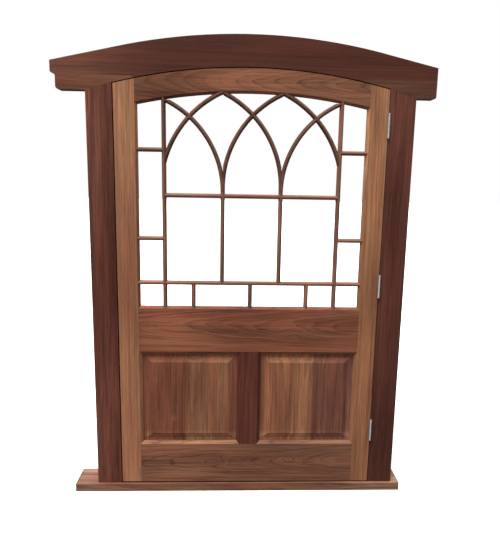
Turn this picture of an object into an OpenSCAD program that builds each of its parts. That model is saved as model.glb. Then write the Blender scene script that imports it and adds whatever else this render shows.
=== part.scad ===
// Arched board-and-panel door in its timber frame. +Z up, the front faces -Y.
// The origin is on the sill's underside, under the leaf's centre line, in the plane of the leaf's face.

/* [Leaf] */
// width of the door leaf
leaf_w = 1300; // [1150:5:1450]
// thickness of the leaf
leaf_t = 45; // [42:1:56]
// height of the leaf from its bottom edge to its crown
leaf_h = 2092.5; // [2000:0.5:2600]
// radius of the arched top edge
leaf_arch_r = 2632.5; // [2300:0.5:3200]
// width of the lock stile's face
lock_stile_w = 98; // [85:1:125]
// width of the hinge stile's face
hinge_stile_w = 90; // [85:1:125]
// depth of the arched top rail's face, measured along its radius
top_rail_w = 101; // [80:0.5:120]
// height of the lock rail's underside above the leaf's bottom edge
lock_rail_up = 718; // [600:1:850]
// width of the lock rail's face
lock_rail_w = 222; // [180:1:240]
// width of the bottom rail's face
bottom_rail_w = 212; // [180:1:240]
// width of the muntin's face
muntin_w = 90.5; // [70:0.5:110]
// offset of the muntin from the leaf's centre line
muntin_shift = 5.5; // [-10:0.5:10]

/* [Mouldings] */
// width of the bevel round the glazed opening
glass_bevel_w = 11; // [8:0.5:14]
// depth of the bevel round the glazed opening
glass_bevel_d = 12; // [9:0.5:14]
// depth from the leaf's face to the glazing rebates
rebate_y = 24; // [20:0.5:28]
// width of the bevel round the panel openings
panel_bevel_w = 15; // [10:0.5:18]
// depth of the bevel round the panel openings, both faces
panel_bevel_d = 13; // [9:0.5:13.5]

/* [Panels] */
// thickness of the panel's tongue
tongue_t = 9.8; // [7:0.1:12]
// clearance between the tongue's faces and the groove, each side
tongue_gap = 0.1; // [0.05:0.05:0.3]
// depth of the grooves beyond the sight line
groove_d = 20; // [14:1:24]
// room for the panel to swell at the bottom of each groove
panel_float = 3; // [1:0.5:5]
// margin from the frame's face edge to the raised field
field_margin = 60; // [50:1:70]
// width of the sloped border round the raised field
field_slope_w = 29; // [20:1:32]
// depth of the raised field below the leaf's face
field_y = 5; // [3:0.5:9]
// distance of the left panel's board joint from the leaf's centre line
left_joint_x = 321; // [200:1:400]
// distance of the right panel's board joint from the leaf's centre line
right_joint_x = 340; // [200:1:400]

/* [Glazing bars] */
// width of a glazing bar
bar_w = 21; // [17:0.5:25]
// width of the flat nose of a bar
bar_nose_w = 7; // [4:0.5:10]
// width of the web behind the glazing rebates
bar_web_w = 7; // [5:0.5:9]
// depth of the bars' front and back below the leaf's faces
bar_inset = 1; // [0.5:0.5:3]
// spacing between neighbouring bars
bay = 282; // [250:1:290]
// offset of the bars' pattern from the leaf's centre line
bars_shift = 4.5; // [-10:0.5:10]
// distance of the transom's centre line below the leaf's crown
transom_down = 591.5; // [560:0.5:700]
// distance of the upper side bars' centre line below the leaf's crown
upper_side_down = 377.5; // [300:0.5:500]
// height of the lower side bars' centre line above the lock rail
lower_side_up = 351; // [200:1:430]
// height of the lower full-width bar's centre line above the lock rail
lower_bar_up = 130.5; // [60:0.5:180]
// depth at which crossing bars are halved together
halving_y = 19; // [15:0.5:22]

/* [Tracery] */
// height above the sight line at which the post arcs' centre lines reach the mullion lines
post_apex_up = 10; // [-8:0.5:14]
// height of the post arcs' springing above the transom's centre line
post_arc_up = 24; // [12:1:60]
// distance of the post arcs' springing outside the post's centre
post_arc_out = 16.5; // [0:0.5:20]
// height above the sight line at which the middle arcs' centre lines reach the far mullion line
middle_apex_up = 5; // [-10:0.5:14]
// height of the middle arcs' springing above the mullions' tops
middle_arc_up = 23; // [5:1:50]
// height above the sight line at which the side arcs' centre lines reach the posts
side_apex_up = 1.5; // [-14:0.5:6]
// height of the side arcs' springing and the mullions' tops above the transom's centre line
side_arc_up = 18; // [14:1:50]

/* [Frame] */
// gap between the leaf and the hinge jamb
leaf_gap = 2.5; // [2:0.1:4]
// gap between the leaf and the lock jamb
lock_gap = 5; // [2:0.1:6]
// gap between the leaf and the head
head_gap = 4.5; // [2:0.1:6]
// gap between the leaf's bottom edge and the sill
foot_gap = 6; // [3:0.5:12]
// visible width of a jamb's face
jamb_face_w = 125.5; // [100:0.5:150]
// depth of the jambs and of the head, front to back
frame_d = 140; // [110:1:170]
// width of the stop that the leaf closes against
stop_w = 14; // [10:0.5:20]
// gap between the closed leaf's back and the stop
stop_gap = 2; // [1:0.5:4]
// thickness of the sill
sill_t = 44; // [36:1:46]
// how far the sill stands out in front of the jambs
sill_out = 11; // [5:1:20]
// how far the sill passes the jambs' back
sill_back = 2; // [0:1:10]
// length of the sill's left horn
sill_horn_left = 116; // [40:1:180]
// length of the sill's right horn
sill_horn_right = 44; // [20:1:180]

/* [Head] */
// width of the head at its crown
head_w = 144.5; // [110:0.5:200]
// radius of the head's back
head_arch_r = 2850; // [2500:1:3400]
// offset of the head's back arc from the centre line
head_arch_shift = -10; // [-40:1:40]
// distance from the centre line where the back arc runs out straight
head_tangent_x = 620; // [560:1:680]
// length of the head's left horn, past the jamb
head_horn_left = 157; // [80:1:200]
// length of the head's right horn, past the jamb
head_horn_right = 95; // [60:1:160]
// how far the left shoulder block steps back from the horn's end
left_step = 22; // [5:1:40]
// height of the left end's step above the left block's glue line
left_step_up = 10; // [4:1:20]
// height of the left shoulder block, from the jamb's top outer corner to the glue line
left_block_h = 67; // [50:1:82]
// height of the right shoulder block, from the jamb's top outer corner to the glue line
right_block_h = 83; // [50:1:96]
// how far the left jamb's top outer corner lies below the arch's curve
left_jamb_drop = 2; // [1:1:20]
// how far the right jamb's top outer corner lies below the arch's curve
right_jamb_drop = 7; // [1:1:20]
// how far the left shoulder block runs inwards from the jamb's outer face
left_block_in = 218; // [150:1:240]
// how far the right shoulder block runs inwards from the jamb's outer face
right_block_in = 258; // [150:1:270]
// depth of the shoulder blocks where they hang beside the jambs
horn_d = 55; // [30:1:110]
// radius of the lower corner of the left horn
left_horn_r = 16; // [5:1:25]
// radius of the lower corner of the right horn
right_horn_r = 11; // [5:1:20]

/* [Joinery] */
// thickness of the leaf's tenons
tenon_t = 15; // [12:0.5:16]
// outer thickness of a tenon wedge
wedge_t = 6; // [4:0.5:9]
// inner thickness of a tenon wedge
wedge_tip = 1.5; // [1:0.5:3]
// length of a tenon wedge
wedge_l = 58; // [40:1:70]
// width of each of the lock rail's two tenons
lock_tenon_w = 78; // [50:1:85]
// distance of the lock rail's tenons from its edges
lock_tenon_in = 20; // [16:1:30]
// width of each of the bottom rail's two tenons
bottom_tenon_w = 68; // [50:1:72]
// distance of the lower tenon from the bottom rail's bottom edge
bottom_tenon_low = 30; // [20:1:34]
// distance of the upper tenon from the bottom rail's top edge
bottom_tenon_high = 26; // [20:1:30]
// distance of the top rail's tenon above its lower edge
top_tenon_low = 10; // [8:1:16]
// distance of the top rail's tenon below the leaf's top corner
top_tenon_high = 20; // [16:1:26]
// distance of the muntin's tenons from its edges
muntin_tenon_in = 12; // [6:1:20]
// length of the muntin's tenons
muntin_tenon_l = 45; // [20:1:50]
// width of the tenons on the jambs
jamb_tenon_w = 60; // [40:1:80]
// thickness of the tenons on the jambs
jamb_tenon_t = 40; // [30:1:60]
// distance of the jambs' tenons from their outer faces
jamb_tenon_in = 30; // [15:1:50]
// length of the stub tenons that hold the bars in the top rail, past its rebate
stub_l = 8; // [3:1:15]
// width of the stub tenons
stub_w = 8; // [4:0.5:12]
// thickness of the stub tenons
stub_t = 8; // [4:0.5:9]
// distance of a stub from the mullion line where two arcs meet
stub_spread = 1; // [0.5:0.5:2]
// height of the jambs' top tenons
jamb_tenon_h = 45; // [30:1:50]

/* [Hinges] */
// length of a hinge
hinge_l = 114.3; // [90:0.1:130]
// distance of the top hinge's middle below the top corner of the leaf
top_hinge_down = 165.5; // [160:0.5:300]
// height of the middle hinge's middle above the lock rail
middle_hinge_up = 124.5; // [70:0.5:400]
// height of the bottom hinge's middle above the leaf's bottom edge
bottom_hinge_up = 293.5; // [285:0.5:450]
// radius of the hinge's knuckles
knuckle_r = 6.2; // [5:0.1:7]
// radius of the hinge pin
pin_r = 3; // [2.5:0.1:4]
// running clearance round the pin
pin_gap = 0.05; // [0.03:0.01:0.1]
// radius of the pin's end buttons
pin_head_r = 4.6; // [4.3:0.1:6]
// height of the pin's end buttons
pin_head_h = 1.5; // [1:0.1:3]
// gap between neighbouring knuckles
knuckle_gap = 0.2; // [0.1:0.05:0.5]
// thickness of the hinge's plates
plate_t = 2.5; // [2:0.1:3]
// how far a plate reaches back into the wood
plate_d = 34; // [26:1:38]
// clearance between the knuckles and the wood's face
knuckle_clear = 0.3; // [0.3:0.1:1]
// radius of a hinge screw's shank
screw_r = 2.4; // [2:0.1:3]
// radius of a hinge screw's head
screw_head_r = 4.4; // [4:0.1:4.6]
// distance of the far screws from the leaf's front face
screw_far_y = 24; // [20:1:28]
// distance of the near screws from the leaf's front face
screw_near_y = 12; // [8:1:14]
// width of a screw's slot
screw_slot_w = 1; // [0.8:0.1:1.4]
// depth of a screw's slot
screw_slot_d = 0.8; // [0.5:0.1:1.2]
// length of a hinge screw
screw_l = 32; // [20:1:40]
// clearance round the screws
screw_gap = 0.05; // [0.03:0.01:0.1]

/* [Hidden] */

arc_fn = 360;
small_fn = 48;

// how far a cut runs past a face
over = 2;
// how far a joined shape starts inside its neighbour
sink = 1;
// how far the moulded strips start inside the stiles
strip_sink = 5;

// leaf, whose left edges too are given as distances from its centre line
lx = leaf_w / 2;
lf = lx - lock_stile_w;
rf = lx - hinge_stile_w;
leaf_bottom_z = sill_t + foot_gap;
leaf_crown_z = leaf_bottom_z + leaf_h;
arch_cz = leaf_crown_z - leaf_arch_r;
lock_rail_z0 = leaf_bottom_z + lock_rail_up;
lock_rail_z1 = lock_rail_z0 + lock_rail_w;
bottom_rail_z1 = leaf_bottom_z + bottom_rail_w;
mx0 = muntin_shift - muntin_w / 2;
mx1 = muntin_shift + muntin_w / 2;
top_face_r = leaf_arch_r - top_rail_w;
top_sight_r = top_face_r - glass_bevel_w;
lg = lf - glass_bevel_w;
rg = rf - glass_bevel_w;
lp = lf - panel_bevel_w;
rp = rf - panel_bevel_w;

function arc_z(r, x) = arch_cz + sqrt(r * r - x * x);

// how far the muntin's mitres are eased into the muntin
mitre_ease = 0.05;
left_joint_face_z = arc_z(top_face_r, lf);
right_joint_face_z = arc_z(top_face_r, rf);
left_joint_sight_z = arc_z(top_sight_r, lg);
right_joint_sight_z = arc_z(top_sight_r, rg);
leaf_corner_z = round(arc_z(leaf_arch_r, lx));

// frame
jx_gap = lx + leaf_gap;
jx_stop = jx_gap - stop_w;
jx_out = jx_gap + jamb_face_w;
head_r = leaf_arch_r + head_gap;
stop_r = head_r - stop_w;
stop_y = leaf_t + stop_gap;
left_jamb_z = round(arc_z(head_r, jx_out)) - left_jamb_drop;
right_jamb_z = round(arc_z(head_r, jx_out)) - right_jamb_drop;
head_crown_z = leaf_crown_z + head_gap + head_w;
// how far below its arc the head's straight ends start
tangent_sink = 0.1;
// how far the head's arc and its straight ends overlap
head_lap = 60;
// how far the jambs' top tenons start below their scribed tops
tenon_root = 20;
head_cz = head_crown_z - head_arch_r;
head_left_x = -jx_out - head_horn_left;
head_right_x = jx_out + head_horn_right;
left_glue_z = left_jamb_z + left_block_h;
right_glue_z = right_jamb_z + right_block_h;
tenon_x1 = jx_out - jamb_tenon_in;
tenon_x0 = tenon_x1 - jamb_tenon_w;
tenon_y0 = frame_d / 2 - jamb_tenon_t / 2;
tenon_y1 = frame_d / 2 + jamb_tenon_t / 2;
sill_x0 = -jx_out - sill_horn_left;
sill_x1 = jx_out + sill_horn_right;

// tenons of the rails, as [bottom, top]
leaf_mid_y = leaf_t / 2;
t_y0 = leaf_mid_y - tenon_t / 2;
t_y1 = leaf_mid_y + tenon_t / 2;
rail_tenons = [
  [ceil(max(left_joint_face_z, right_joint_face_z)) + top_tenon_low, leaf_corner_z - top_tenon_high],
  [lock_rail_z0 + lock_tenon_in, lock_rail_z0 + lock_tenon_in + lock_tenon_w],
  [lock_rail_z1 - lock_tenon_in - lock_tenon_w, lock_rail_z1 - lock_tenon_in],
  [leaf_bottom_z + bottom_tenon_low, leaf_bottom_z + bottom_tenon_low + bottom_tenon_w],
  [bottom_rail_z1 - bottom_tenon_high - bottom_tenon_w, bottom_rail_z1 - bottom_tenon_high]
];

// bars
ax = bars_shift - 1.5 * bay;
bx = bars_shift - 0.5 * bay;
cx = bars_shift + 0.5 * bay;
dx = bars_shift + 1.5 * bay;
transom_z = leaf_crown_z - transom_down;
upper_side_z = leaf_crown_z - upper_side_down;
lower_side_z = lock_rail_z1 + lower_side_up;
lower_bar_z = lock_rail_z1 + lower_bar_up;
post_arc_z = transom_z + post_arc_up;
side_arc_z = transom_z + side_arc_up;
middle_arc_z = side_arc_z + middle_arc_up;
bar_y0 = bar_inset;
bar_y1 = leaf_t - bar_inset;
stub_off = stub_w / 2 + stub_spread;
// how far a stub starts below the rail's sight line
stub_hang = 4;
// how far below the posts' tops the side arcs end
side_arc_cap = 1;
stub_xs = [ax, dx, bx - stub_off, bx + stub_off, cx - stub_off, cx + stub_off];

// radius of an arc that springs upright at z and reaches the line x a distance d away
function arc_radius(d, x, z, up) =
  let (h = arc_z(top_sight_r, x) + up - z)
  (d * d + h * h) / (2 * d);
post_arc_r_left = arc_radius(bay + post_arc_out, bx, post_arc_z, post_apex_up);
post_arc_r_right = arc_radius(bay + post_arc_out, cx, post_arc_z, post_apex_up);
middle_arc_r_left = arc_radius(bay, cx, middle_arc_z, middle_apex_up);
middle_arc_r_right = arc_radius(bay, bx, middle_arc_z, middle_apex_up);
side_arc_r_left = arc_radius(bay, ax, side_arc_z, side_apex_up);
side_arc_r_right = arc_radius(bay, dx, side_arc_z, side_apex_up);

// panels
groove_y0 = leaf_mid_y - tongue_t / 2 - tongue_gap;
groove_y1 = leaf_mid_y + tongue_t / 2 + tongue_gap;
tongue_y0 = leaf_mid_y - tongue_t / 2;
tongue_y1 = leaf_mid_y + tongue_t / 2;

// hinges
pin_x = lx + leaf_gap / 2;
pin_y = -knuckle_r - knuckle_clear;
seg_l = (hinge_l - 4 * knuckle_gap) / 5;
bore_r = pin_r + pin_gap;
top_hinge_z = leaf_corner_z - top_hinge_down;
middle_hinge_z = lock_rail_z1 + middle_hinge_up;
bottom_hinge_z = leaf_bottom_z + bottom_hinge_up;
hinge_zs = [top_hinge_z, middle_hinge_z, bottom_hinge_z];
screw_cone = screw_head_r - screw_r;
// each screw's depth behind the leaf's face, and its height as a share of the hinge's length
screw_spots = [
  [screw_far_y, -0.38],
  [screw_near_y, -0.13],
  [screw_far_y, 0.13],
  [screw_near_y, 0.38]
];

wood_dark = [0.22, 0.13, 0.09];
wood_jamb = [0.33, 0.21, 0.15];
wood_sill = [0.42, 0.30, 0.22];
wood_stile = [0.52, 0.38, 0.27];
wood_rail = [0.40, 0.27, 0.19];
wood_lock = [0.36, 0.22, 0.17];
wood_muntin = [0.22, 0.12, 0.10];
wood_panel = [0.41, 0.29, 0.20];
wood_bar = [0.36, 0.25, 0.18];
steel = [0.68, 0.68, 0.67];

// ---------- helpers ----------

module block(x0, x1, y0, y1, z0, z1) {
  translate([x0, y0, z0])
    cube([x1 - x0, y1 - y0, z1 - z0]);
}

// a front-view outline given a thickness from y0 to y1
module prism_y(y0, y1) {
  translate([0, y1, 0])
    rotate([90, 0, 0])
      linear_extrude(height = y1 - y0)
        children();
}

// a plan-view outline raised from z0 to z1
module prism_z(z0, z1) {
  translate([0, 0, z0])
    linear_extrude(height = z1 - z0)
      children();
}

// a section drawn as (height, depth), run from x0 to x1
module prism_x(x0, x1) {
  translate([x1, 0, 0])
    rotate([0, -90, 0])
      linear_extrude(height = x1 - x0)
        children();
}

// a disc on the arch's centre
module disc_y(r, y0, y1) {
  translate([0, y0, arch_cz])
    rotate([-90, 0, 0])
      cylinder(h = y1 - y0, r = r, $fn = arc_fn);
}

// ---------- openings ----------

// the air of the glazed opening, bevels and rebates included
module glazed_air() {
  k = glass_bevel_w / glass_bevel_d * over;
  z0 = lock_rail_z1;
  z1 = leaf_crown_z + over;
  y1 = leaf_t + over;
  intersection() {
    prism_z(z0 - glass_bevel_w, leaf_crown_z)
      polygon([
        [-lf - k, -over], [rf + k, -over], [rg, glass_bevel_d], [rg, rebate_y], [rf, rebate_y],
        [rf, y1], [-lf, y1], [-lf, rebate_y], [-lg, rebate_y], [-lg, glass_bevel_d]
      ]);
    prism_x(-lx, lx)
      polygon([
        [z0 - k, -over], [z0 + glass_bevel_w, glass_bevel_d], [z0 + glass_bevel_w, rebate_y],
        [z0, rebate_y], [z0, y1], [z1, y1], [z1, -over]
      ]);
    translate([0, 0, arch_cz])
      rotate([-90, 0, 0])
        rotate_extrude($fn = arc_fn)
          polygon([
            [0, -over], [top_face_r + k, -over], [top_sight_r, glass_bevel_d],
            [top_sight_r, rebate_y], [top_face_r, rebate_y], [top_face_r, y1], [0, y1]
          ]);
  }
}

// the air of one panel opening between two face edges, bevelled on both faces
module panel_air(x0, x1) {
  w = panel_bevel_w;
  d = panel_bevel_d;
  k = w / d * over;
  y1 = leaf_t + over;
  z0 = bottom_rail_z1;
  z1 = lock_rail_z0;
  intersection() {
    prism_z(z0 - k - over, z1 + k + over)
      polygon([
        [x0 - k, -over], [x1 + k, -over], [x1 - w, d], [x1 - w, leaf_t - d],
        [x1 + k, y1], [x0 - k, y1], [x0 + w, leaf_t - d], [x0 + w, d]
      ]);
    prism_x(x0 - k - over, x1 + k + over)
      polygon([
        [z0 - k, -over], [z1 + k, -over], [z1 - w, d], [z1 - w, leaf_t - d],
        [z1 + k, y1], [z0 - k, y1], [z0 + w, leaf_t - d], [z0 + w, d]
      ]);
  }
}

// the groove round one panel opening
module panel_groove(x0, x1) {
  w = panel_bevel_w - groove_d;
  block(x0 + w, x1 - w, groove_y0, groove_y1, bottom_rail_z1 + w, lock_rail_z0 - w);
}

module leaf_air() {
  glazed_air();
  panel_air(-lf, mx0);
  panel_air(mx1, rf);
  panel_groove(-lf, mx0);
  panel_groove(mx1, rf);
}

// ---------- leaf frame ----------

// a rail's tenons between two heights, one at each end
module rail_tenon_pair(t) {
  block(rf - sink, lx, t_y0, t_y1, t[0], t[1]);
  block(-lx, sink - lf, t_y0, t_y1, t[0], t[1]);
}

module wedge_shape(z, s) {
  prism_y(t_y0, t_y1)
    polygon([
      [lx, z], [lx, z + s * wedge_t],
      [lx - wedge_l, z + s * wedge_tip], [lx - wedge_l, z]
    ]);
}

// the flared mortises of a stile whose face starts at f, drawn for the right
module side_mortises(f) {
  for (t = rail_tenons) {
    block(f - sink, lx + over, t_y0, t_y1, t[0], t[1]);
    wedge_shape(t[0], -1);
    wedge_shape(t[1], 1);
  }
}

// a stile whose face starts at f, with moulded strips mitred at their ends, drawn for the right
module stile_blank(f, face_z, sight_z) {
  g = f - glass_bevel_w;
  p = f - panel_bevel_w;
  intersection() {
    union() {
      block(f, lx, 0, leaf_t, leaf_bottom_z, leaf_crown_z);
      prism_y(0, leaf_t)
        polygon([
          [f, lock_rail_z1], [g, lock_rail_z1 + glass_bevel_w], [g, sight_z], [f, face_z],
          [f + strip_sink, face_z], [f + strip_sink, lock_rail_z1]
        ]);
      prism_y(0, leaf_t)
        polygon([
          [f, bottom_rail_z1], [p, bottom_rail_z1 + panel_bevel_w],
          [p, lock_rail_z0 - panel_bevel_w], [f, lock_rail_z0],
          [f + strip_sink, lock_rail_z0], [f + strip_sink, bottom_rail_z1]
        ]);
    }
    disc_y(leaf_arch_r, -over, leaf_t + over);
  }
}

module hinge_plate_recesses() {
  for (z = hinge_zs)
    block(lx - plate_t, lx + over, -over, plate_d, z - hinge_l / 2, z + hinge_l / 2);
}

module screw_hole(x, y, z, s) {
  translate([x, y, z])
    rotate([0, s * 90, 0])
      cylinder(h = screw_l + sink, r = screw_r + screw_gap, $fn = small_fn);
}

module door_screw_holes() {
  for (z = hinge_zs)
    for (p = screw_spots)
      screw_hole(lx, p[0], z + p[1] * hinge_l, -1);
}

module jamb_screw_holes() {
  for (z = hinge_zs)
    for (p = screw_spots)
      screw_hole(jx_gap, p[0], z + p[1] * hinge_l, 1);
}

module hinge_stile() {
  color(wood_stile)
    difference() {
      stile_blank(rf, right_joint_face_z, right_joint_sight_z);
      glazed_air();
      panel_air(mx1, rf);
      panel_groove(mx1, rf);
      side_mortises(rf);
      hinge_plate_recesses();
      door_screw_holes();
    }
}

module lock_stile() {
  color(wood_stile)
    difference() {
      mirror([1, 0, 0])
        stile_blank(lf, left_joint_face_z, left_joint_sight_z);
      glazed_air();
      panel_air(-lf, mx0);
      panel_groove(-lf, mx0);
      mirror([1, 0, 0])
        side_mortises(lf);
    }
}

module both_sides() {
  children();
  mirror([1, 0, 0])
    children();
}

module top_rail() {
  color(wood_rail) {
    difference() {
      intersection() {
        prism_y(0, leaf_t)
          polygon([
            [-lf, leaf_crown_z + over], [-lf, left_joint_face_z], [-lg, left_joint_sight_z],
            [rg, right_joint_sight_z], [rf, right_joint_face_z], [rf, leaf_crown_z + over]
          ]);
        disc_y(leaf_arch_r, -over, leaf_t + over);
      }
      glazed_air();
      stubs();
    }
    rail_tenon_pair(rail_tenons[0]);
  }
}

module lock_rail() {
  z0 = lock_rail_z0;
  z1 = lock_rail_z1;
  w = panel_bevel_w;
  e = mitre_ease;
  color(wood_lock)
    difference() {
      union() {
        prism_y(0, leaf_t)
          polygon([
            [-lf, z1], [-lg, z1 + glass_bevel_w], [rg, z1 + glass_bevel_w], [rf, z1],
            [rf, z0], [rp, z0 - w], [mx1 + w - e, z0 - w], [mx1 - e, z0],
            [mx0 + e, z0], [mx0 - w + e, z0 - w], [-lp, z0 - w], [-lf, z0]
          ]);
        rail_tenon_pair(rail_tenons[1]);
        rail_tenon_pair(rail_tenons[2]);
      }
      leaf_air();
      muntin_tenons();
    }
}

module bottom_rail() {
  z0 = leaf_bottom_z;
  z1 = bottom_rail_z1;
  w = panel_bevel_w;
  e = mitre_ease;
  color(wood_rail)
    difference() {
      union() {
        prism_y(0, leaf_t)
          polygon([
            [-lf, z0], [rf, z0], [rf, z1], [rp, z1 + w], [mx1 + w - e, z1 + w], [mx1 - e, z1],
            [mx0 + e, z1], [mx0 - w + e, z1 + w], [-lp, z1 + w], [-lf, z1]
          ]);
        rail_tenon_pair(rail_tenons[3]);
        rail_tenon_pair(rail_tenons[4]);
      }
      leaf_air();
      muntin_tenons();
    }
}

module muntin_tenons() {
  x0 = mx0 + muntin_tenon_in;
  x1 = mx1 - muntin_tenon_in;
  block(x0, x1, t_y0, t_y1, bottom_rail_z1 - muntin_tenon_l, bottom_rail_z1 + sink);
  block(x0, x1, t_y0, t_y1, lock_rail_z0 - sink, lock_rail_z0 + muntin_tenon_l);
}

module muntin() {
  z0 = bottom_rail_z1;
  z1 = lock_rail_z0;
  w = panel_bevel_w;
  e = mitre_ease;
  color(wood_muntin) {
    difference() {
      prism_y(0, leaf_t)
        polygon([
          [mx0 + e, z0], [mx0 - w, z0 + w + e], [mx0 - w, z1 - w - e], [mx0 + e, z1],
          [mx1 - e, z1], [mx1 + w, z1 - w - e], [mx1 + w, z0 + w + e], [mx1 - e, z0]
        ]);
      panel_air(-lf, mx0);
      panel_air(mx1, rf);
      panel_groove(-lf, mx0);
      panel_groove(mx1, rf);
    }
    muntin_tenons();
  }
}

// ---------- panels ----------

module raised_panel(x0, x1) {
  e = panel_bevel_w - groove_d + panel_float;
  m = field_margin - field_slope_w;
  f = field_margin;
  z0 = bottom_rail_z1;
  z1 = lock_rail_z0;
  intersection() {
    prism_z(z0 + e, z1 - e)
      polygon([
        [x0 + e, tongue_y1], [x0 + e, tongue_y0], [x0 + m, tongue_y0], [x0 + f, field_y],
        [x1 - f, field_y], [x1 - m, tongue_y0], [x1 - e, tongue_y0], [x1 - e, tongue_y1]
      ]);
    prism_x(x0 + e, x1 - e)
      polygon([
        [z0 + e, tongue_y1], [z0 + e, tongue_y0], [z0 + m, tongue_y0], [z0 + f, field_y],
        [z1 - f, field_y], [z1 - m, tongue_y0], [z1 - e, tongue_y0], [z1 - e, tongue_y1]
      ]);
  }
}

module board(x0, x1) {
  block(x0, x1, 0, leaf_t, leaf_bottom_z, lock_rail_z1);
}

module left_panel_outer() {
  color(wood_panel)
    intersection() {
      raised_panel(-lf, mx0);
      board(-lx, -left_joint_x);
    }
}

module left_panel_inner() {
  color(wood_panel)
    intersection() {
      raised_panel(-lf, mx0);
      board(-left_joint_x, lx);
    }
}

module right_panel_inner() {
  color(wood_panel)
    intersection() {
      raised_panel(mx1, rf);
      board(-lx, right_joint_x);
    }
}

module right_panel_outer() {
  color(wood_panel)
    intersection() {
      raised_panel(mx1, rf);
      board(right_joint_x, lx);
    }
}

module wedges() {
  for (t = rail_tenons) {
    wedge_shape(t[0], -1);
    wedge_shape(t[1], 1);
  }
}

module hinge_side_wedges() {
  color(wood_panel)
    wedges();
}

module lock_side_wedges() {
  color(wood_panel)
    mirror([1, 0, 0])
      wedges();
}

// ---------- glazing bars ----------

// section of a bar, drawn as (offset from c, depth)
module bar_section(c) {
  h = bar_w / 2;
  n = bar_nose_w / 2;
  v = bar_web_w / 2;
  polygon([
    [c - n, bar_y0], [c + n, bar_y0], [c + h, glass_bevel_d + bar_y0], [c + h, rebate_y],
    [c + v, rebate_y], [c + v, bar_y1], [c - v, bar_y1], [c - v, rebate_y],
    [c - h, rebate_y], [c - h, glass_bevel_d + bar_y0]
  ]);
}

module upright(x, z0, z1) {
  prism_z(z0, z1)
    bar_section(x);
}

module level(z, x0, x1) {
  prism_x(x0, x1)
    bar_section(z);
}

module front_half() {
  block(-lx, lx, -over, halving_y, 0, leaf_crown_z);
}

module back_half() {
  block(-lx, lx, halving_y, leaf_t + over, 0, leaf_crown_z);
}

module post_raw(x) {
  upright(x, lock_rail_z1, leaf_crown_z);
}

// a post is whole in front where the lower bar crosses it
module post(x) {
  color(wood_bar) {
    difference() {
      intersection() {
        post_raw(x);
        glazed_air();
      }
      intersection() {
        level(lower_bar_z, -lx, lx);
        back_half();
      }
    }
    stub(x);
  }
}

module left_post() {
  post(ax);
}

module right_post() {
  post(dx);
}

module lower_bar() {
  color(wood_bar)
    difference() {
      intersection() {
        level(lower_bar_z, -lx, lx);
        glazed_air();
      }
      for (x = [ax, dx])
        intersection() {
          post_raw(x);
          front_half();
        }
    }
}

module mullion_raw(x) {
  upright(x, lower_bar_z, side_arc_z);
}

// the transom is whole in front where the mullions cross it
module transom() {
  color(wood_bar)
    difference() {
      level(transom_z, ax, dx);
      post_raw(ax);
      post_raw(dx);
      for (x = [bx, cx])
        intersection() {
          mullion_raw(x);
          back_half();
        }
    }
}

module mullion(x) {
  color(wood_bar)
    difference() {
      mullion_raw(x);
      level(lower_bar_z, -lx, lx);
      intersection() {
        level(transom_z, ax, dx);
        front_half();
      }
    }
}

module left_mullion() {
  mullion(bx);
}

module right_mullion() {
  mullion(cx);
}

module left_side_bar(z) {
  color(wood_bar)
    difference() {
      intersection() {
        level(z, -lx, ax);
        glazed_air();
      }
      post_raw(ax);
    }
}

module right_side_bar(z) {
  color(wood_bar)
    difference() {
      intersection() {
        level(z, dx, lx);
        glazed_air();
      }
      post_raw(dx);
    }
}

module upper_left_side_bar() {
  left_side_bar(upper_side_z);
}

module upper_right_side_bar() {
  right_side_bar(upper_side_z);
}

module lower_left_side_bar() {
  left_side_bar(lower_side_z);
}

module lower_right_side_bar() {
  right_side_bar(lower_side_z);
}

module short_bar(x) {
  color(wood_bar)
    difference() {
      intersection() {
        upright(x, lock_rail_z1, lower_bar_z);
        glazed_air();
      }
      level(lower_bar_z, -lx, lx);
    }
}

module left_short_bar() {
  short_bar((ax + bx) / 2);
}

module middle_short_bar() {
  short_bar((bx + cx) / 2);
}

module right_short_bar() {
  short_bar((cx + dx) / 2);
}

// ---------- tracery ----------

// a stub tenon from under the top rail's sight edge up into the rail, centred on x
module stub(x) {
  z0 = arc_z(top_sight_r, x) - stub_hang;
  z1 = arc_z(top_face_r, x) + stub_l;
  y = (bar_y0 + glass_bevel_d + rebate_y) / 2;
  block(x - stub_w / 2, x + stub_w / 2, y - stub_t / 2, y + stub_t / 2, z0, z1);
}

module stubs() {
  for (x = stub_xs)
    stub(x);
}

// a curved bar about (x, z), kept between x0 and x1 and above its springing
module arc_bar(x, z, r, x0, x1) {
  intersection() {
    translate([x, 0, z])
      rotate([-90, 0, 0])
        rotate_extrude($fn = arc_fn)
          bar_section(r);
    block(x0, x1, 0, leaf_t, z, leaf_crown_z);
  }
}

module post_arc_left_raw() {
  r = post_arc_r_left;
  arc_bar(ax - post_arc_out + r, post_arc_z, r, ax, bx);
}

module post_arc_right_raw() {
  r = post_arc_r_right;
  arc_bar(dx + post_arc_out - r, post_arc_z, r, cx, dx);
}

module side_arc_left_raw() {
  intersection() {
    arc_bar(bx - side_arc_r_left, side_arc_z, side_arc_r_left, ax, bx);
    block(ax, bx, 0, leaf_t, side_arc_z, arc_z(top_sight_r, ax) - side_arc_cap);
  }
}

module side_arc_right_raw() {
  intersection() {
    arc_bar(cx + side_arc_r_right, side_arc_z, side_arc_r_right, cx, dx);
    block(cx, dx, 0, leaf_t, side_arc_z, arc_z(top_sight_r, dx) - side_arc_cap);
  }
}

// a middle arc and its short straight foot, kept on its own side of the mullion
module middle_arc_left_raw() {
  arc_bar(bx + middle_arc_r_left, middle_arc_z, middle_arc_r_left, bx, cx);
  intersection() {
    upright(bx, side_arc_z, middle_arc_z);
    block(bx, cx, 0, leaf_t, side_arc_z, middle_arc_z);
  }
}

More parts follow.
